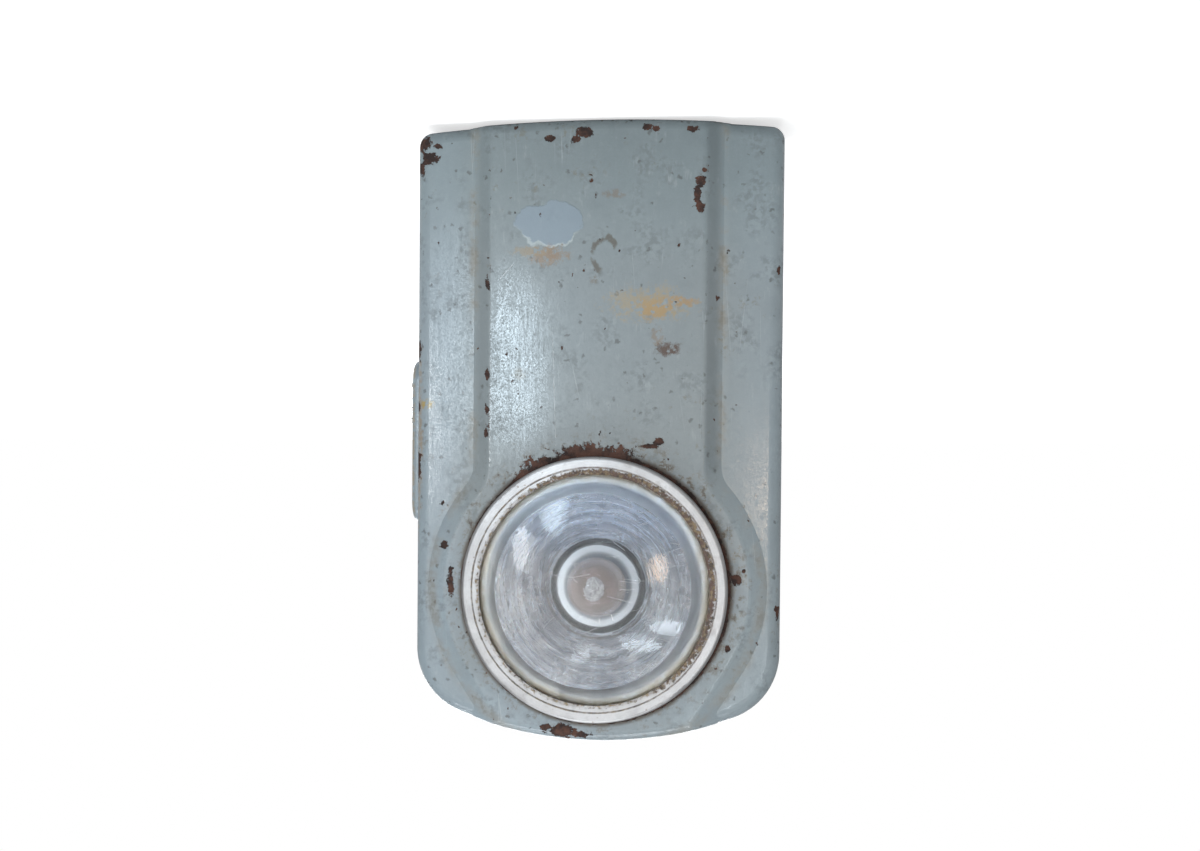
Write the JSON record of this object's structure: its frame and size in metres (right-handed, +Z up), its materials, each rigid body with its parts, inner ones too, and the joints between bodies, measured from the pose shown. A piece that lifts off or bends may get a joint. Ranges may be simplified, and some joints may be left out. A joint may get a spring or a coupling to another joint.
{
  "type": "signal lamp",
  "caption": "Flat pocket signal lamp: pressed steel case with a round lens, a sliding switch and a morse button on the side, hinged back and belt clip.",
  "frame": {"origin": "middle of the whole lamp's box, on the level of its base", "axes": "+Z up from the base to the lens end, +Y towards the hinged back and its belt clip, -Y the way the lens looks, +X towards the switch"},
  "size_m": [0.0696, 0.0404, 0.1132],
  "materials": {
    "case_paint": "old blue-grey stoving enamel, worn at the edges",
    "ring_plating": "dull spun aluminium, scratched, grime in the corners",
    "clear_lens": "clear pressed glass, a little yellowed",
    "reflector_mirror": "silvered sheet",
    "socket_white": "pale moulded socket",
    "bulb_glass": "thin clear glass",
    "lead_wire": "fine wire",
    "contact_brass": "tarnished brass",
    "black_glass": "black glass",
    "solder": "dull solder",
    "battery_card": "waxed card",
    "battery_pitch": "poured pitch",
    "rivet_steel": "plain rivet, dulled",
    "pressboard": "brown pressboard",
    "contact_bronze": "spring bronze",
    "slider_metal": "enamelled slider, worn on the ribs",
    "button_metal": "enamelled button",
    "pin_insulator": "moulded insulating pin",
    "plain_steel": "bare steel wire",
    "clip_steel": "spring steel, lightly rusted"
  },
  "bodies": {
    "case": {"front_shell": "case_paint", "hinge_pin": "plain_steel", "catch_spring": "clip_steel", "catch_rivet": "rivet_steel", "reflector": "reflector_mirror", "bulb_socket": "socket_white", "battery_case": "battery_card", "battery_seal": "battery_pitch", "battery_short_strip": "contact_brass", "battery_long_strip": "contact_brass", "switch_housing": "case_paint", "switch_base": "pressboard", "switch_leaf": "contact_bronze", "switch_rivets": "rivet_steel"},
    "cover": {"back_cover": "case_paint", "cover_liner": "pressboard", "belt_clip": "clip_steel", "clip_rivets": "rivet_steel"},
    "slider": {"switch_slider": "slider_metal", "slider_contact": "contact_brass"},
    "button": {"morse_button": "button_metal", "button_pin": "pin_insulator"},
    "lens_ring": {"bezel_ring": "ring_plating", "lens": "clear_lens"},
    "bulb": {"bulb_globe": "bulb_glass", "bulb_stem": "bulb_glass", "bulb_leads": "lead_wire", "bulb_filament": "lead_wire", "bulb_cap": "contact_brass", "bulb_insulator": "black_glass", "bulb_tip": "solder"}
  },
  "joints": [
    {"name": "cover_hinge", "type": "hinge", "parent": "case", "child": "cover", "pos_m": [-0.0013, 0.01218, 0.0032], "axis": [-1, 0, 0], "range_deg": [0, 105]},
    {"name": "switch_slide", "type": "slide", "parent": "case", "child": "slider", "axis": [0, 0, 1], "range_m": [0, 0.0065]},
    {"name": "morse_press", "type": "slide", "parent": "case", "child": "button", "axis": [-1, 0, 0], "range_m": [0, 0.0008], "stiffness_N_per_m": 600, "springref_m": -0.0008, "deforming": ["switch_leaf"]},
    {"name": "ring_lift", "type": "slide", "parent": "case", "child": "lens_ring", "axis": [0, -1, 0], "range_m": [0, 0.012]},
    {"name": "bulb_turn", "type": "hinge", "parent": "case", "child": "bulb", "pos_m": [-0.0013, 0.00072, 0.0853], "axis": [0, 1, 0], "continuous": true}
  ]
}
